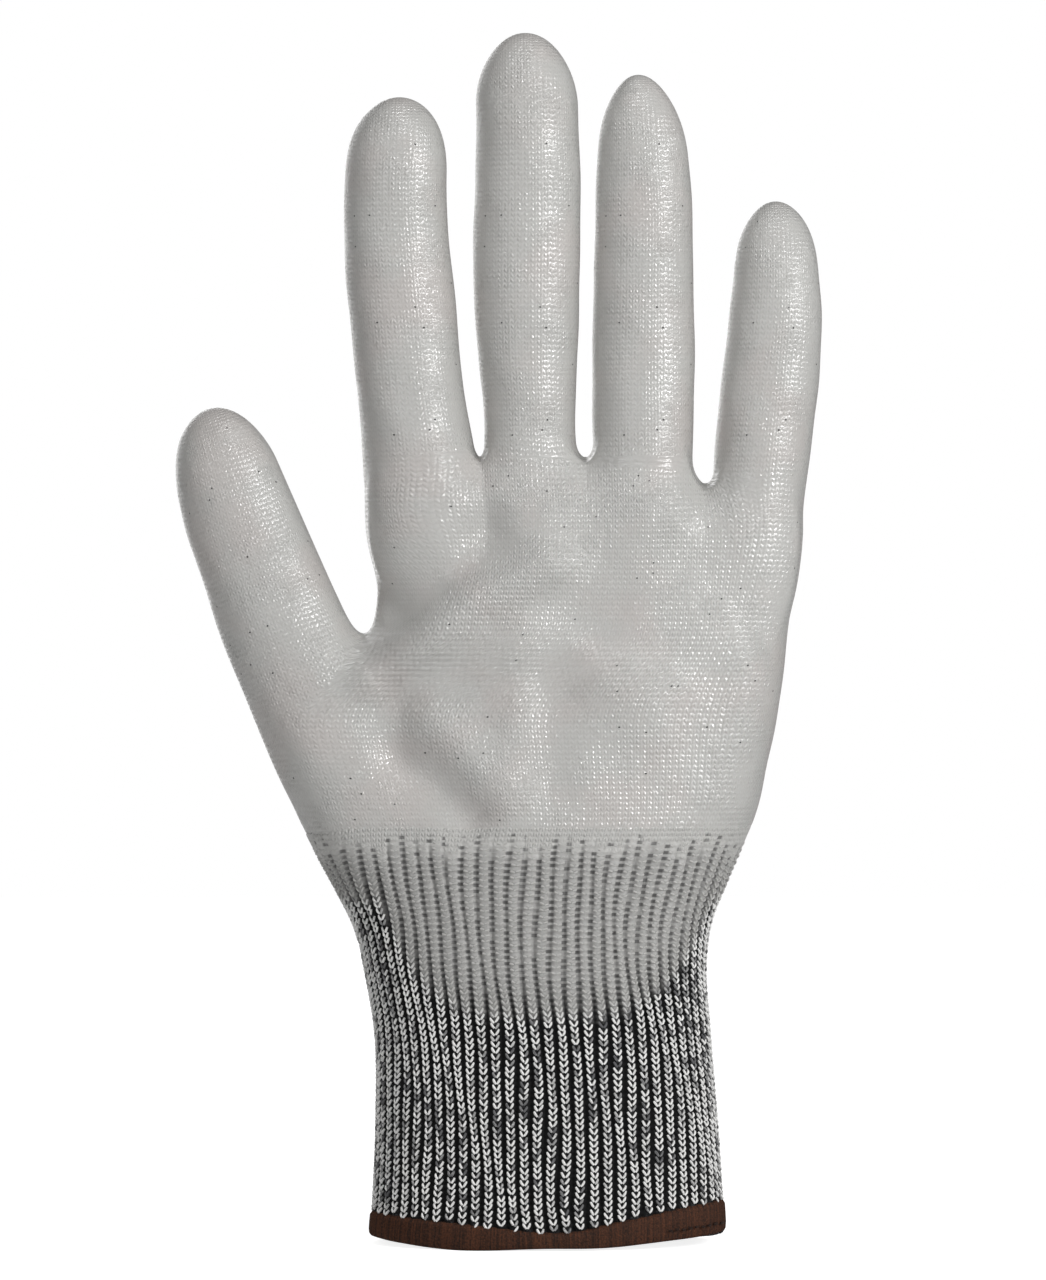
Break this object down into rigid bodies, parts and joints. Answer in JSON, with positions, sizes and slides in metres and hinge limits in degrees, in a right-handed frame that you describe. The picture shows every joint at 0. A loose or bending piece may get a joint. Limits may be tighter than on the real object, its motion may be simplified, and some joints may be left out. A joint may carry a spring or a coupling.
{
  "type": "cut resistant glove",
  "caption": "Seamless knitted cut resistant glove for the left hand, with a palm and finger coating, a ribbed elastic cuff and an overlocked hem.",
  "frame": {"origin": "centre of the wrist opening, at the bottom edge of the hem", "axes": "+Z from the hem to the fingertips, the palm faces -Y, the back of the hand faces +Y, the thumb points to -X"},
  "size_m": [0.1337, 0.0456, 0.2498],
  "materials": {
    "knit": "matte",
    "coating": "satin",
    "hem_thread": "matte",
    "elastic": "matte"
  },
  "bodies": {
    "cuff": {"cuff_rib_knit": "knit", "cuff_elastic_threads": "elastic", "hem_overlock_binding": "hem_thread", "hem_thread_tail": "hem_thread"},
    "palm": {"wrist_stretch_knit": "knit", "lower_palm_knit": "knit", "upper_palm_knit": "knit", "palm_coating": "coating", "thumb_root_knit": "knit", "thumb_root_stretch_knit": "knit", "index_root_knit": "knit", "index_knuckle_stretch_knit": "knit", "middle_root_knit": "knit", "middle_knuckle_stretch_knit": "knit", "ring_root_knit": "knit", "ring_knuckle_stretch_knit": "knit", "little_root_knit": "knit", "little_knuckle_stretch_knit": "knit"},
    "thumb_base": {"thumb_base_knit": "knit", "thumb_base_coating": "coating", "thumb_joint_stretch_knit": "knit"},
    "thumb_tip": {"thumb_tip_knit": "knit", "thumb_tip_coating": "coating"},
    "index_proximal": {"index_proximal_knit": "knit", "index_proximal_coating": "coating", "index_joint_stretch_knit": "knit"},
    "index_middle": {"index_middle_knit": "knit", "index_middle_coating": "coating", "index_end_stretch_knit": "knit"},
    "index_tip": {"index_tip_knit": "knit", "index_tip_coating": "coating"},
    "middle_proximal": {"middle_proximal_knit": "knit", "middle_proximal_coating": "coating", "middle_joint_stretch_knit": "knit"},
    "middle_middle": {"middle_middle_knit": "knit", "middle_middle_coating": "coating", "middle_end_stretch_knit": "knit"},
    "middle_tip": {"middle_tip_knit": "knit", "middle_tip_coating": "coating"},
    "ring_proximal": {"ring_proximal_knit": "knit", "ring_proximal_coating": "coating", "ring_joint_stretch_knit": "knit"},
    "ring_middle": {"ring_middle_knit": "knit", "ring_middle_coating": "coating", "ring_end_stretch_knit": "knit"},
    "ring_tip": {"ring_tip_knit": "knit", "ring_tip_coating": "coating"},
    "little_proximal": {"little_proximal_knit": "knit", "little_proximal_coating": "coating", "little_joint_stretch_knit": "knit"},
    "little_middle": {"little_middle_knit": "knit", "little_middle_coating": "coating", "little_end_stretch_knit": "knit"},
    "little_tip": {"little_tip_knit": "knit", "little_tip_coating": "coating"}
  },
  "joints": [
    {"name": "wrist_flex", "type": "hinge", "parent": "cuff", "child": "palm", "pos_m": [0, 0, 0.048], "axis": [1, 0, 0], "range_deg": [-40, 40], "stiffness_Nm_per_rad": 0.25, "deforming": ["wrist_stretch_knit"]},
    {"name": "thumb_swing", "type": "hinge", "parent": "palm", "child": "thumb_base", "pos_m": [-0.05107, -0.003, 0.12043], "axis": [0.6194, 0, 0.785], "range_deg": [0, 50], "stiffness_Nm_per_rad": 0.02, "deforming": ["thumb_root_stretch_knit"]},
    {"name": "thumb_bend", "type": "hinge", "parent": "thumb_base", "child": "thumb_tip", "pos_m": [-0.06098, -0.003, 0.146], "axis": [0.9455, 0, 0.3256], "range_deg": [0, 60], "stiffness_Nm_per_rad": 0.012, "deforming": ["thumb_joint_stretch_knit"]},
    {"name": "index_knuckle", "type": "hinge", "parent": "palm", "child": "index_proximal", "pos_m": [-0.02726, -0.00301, 0.17245], "axis": [0.9954, 0, 0.0958], "range_deg": [0, 70], "stiffness_Nm_per_rad": 0.02, "deforming": ["index_knuckle_stretch_knit"]},
    {"name": "index_bend", "type": "hinge", "parent": "index_proximal", "child": "index_middle", "pos_m": [-0.02956, -0.00301, 0.19634], "axis": [0.9954, 0, 0.0958], "range_deg": [0, 90], "stiffness_Nm_per_rad": 0.012, "deforming": ["index_joint_stretch_knit"]},
    {"name": "index_tip_bend", "type": "hinge", "parent": "index_middle", "child": "index_tip", "pos_m": [-0.03157, -0.00301, 0.21725], "axis": [0.9954, 0, 0.0958], "range_deg": [0, 50], "stiffness_Nm_per_rad": 0.008, "deforming": ["index_end_stretch_knit"]},
    {"name": "middle_knuckle", "type": "hinge", "parent": "palm", "child": "middle_proximal", "pos_m": [-0.0038, -0.00298, 0.1725], "axis": [1, 0, 0], "range_deg": [0, 70], "stiffness_Nm_per_rad": 0.02, "deforming": ["middle_knuckle_stretch_knit"]},
    {"name": "middle_bend", "type": "hinge", "parent": "middle_proximal", "child": "middle_middle", "pos_m": [-0.0038, -0.00298, 0.2005], "axis": [1, 0, 0], "range_deg": [0, 90], "stiffness_Nm_per_rad": 0.012, "deforming": ["middle_joint_stretch_knit"]},
    {"name": "middle_tip_bend", "type": "hinge", "parent": "middle_middle", "child": "middle_tip", "pos_m": [-0.0038, -0.00298, 0.2265], "axis": [1, 0, 0], "range_deg": [0, 50], "stiffness_Nm_per_rad": 0.008, "deforming": ["middle_end_stretch_knit"]},
    {"name": "ring_knuckle", "type": "hinge", "parent": "palm", "child": "ring_proximal", "pos_m": [0.0201, -0.00287, 0.1725], "axis": [1, 0, 0], "range_deg": [0, 70], "stiffness_Nm_per_rad": 0.02, "deforming": ["ring_knuckle_stretch_knit"]},
    {"name": "ring_bend", "type": "hinge", "parent": "ring_proximal", "child": "ring_middle", "pos_m": [0.0201, -0.00287, 0.1975], "axis": [1, 0, 0], "range_deg": [0, 90], "stiffness_Nm_per_rad": 0.012, "deforming": ["ring_joint_stretch_knit"]},
    {"name": "ring_tip_bend", "type": "hinge", "parent": "ring_middle", "child": "ring_tip", "pos_m": [0.0201, -0.00287, 0.2205], "axis": [1, 0, 0], "range_deg": [0, 50], "stiffness_Nm_per_rad": 0.008, "deforming": ["ring_end_stretch_knit"]},
    {"name": "little_knuckle", "type": "hinge", "parent": "palm", "child": "little_proximal", "pos_m": [0.04505, -0.0027, 0.16498], "axis": [0.9969, 0, -0.0785], "range_deg": [0, 70], "stiffness_Nm_per_rad": 0.02, "deforming": ["little_knuckle_stretch_knit"]},
    {"name": "little_bend", "type": "hinge", "parent": "little_proximal", "child": "little_middle", "pos_m": [0.04638, -0.0027, 0.18193], "axis": [0.9969, 0, -0.0785], "range_deg": [0, 90], "stiffness_Nm_per_rad": 0.012, "deforming": ["little_joint_stretch_knit"]},
    {"name": "little_tip_bend", "type": "hinge", "parent": "little_middle", "child": "little_tip", "pos_m": [0.0476, -0.0027, 0.19738], "axis": [0.9969, 0, -0.0785], "range_deg": [0, 50], "stiffness_Nm_per_rad": 0.008, "deforming": ["little_end_stretch_knit"]}
  ]
}
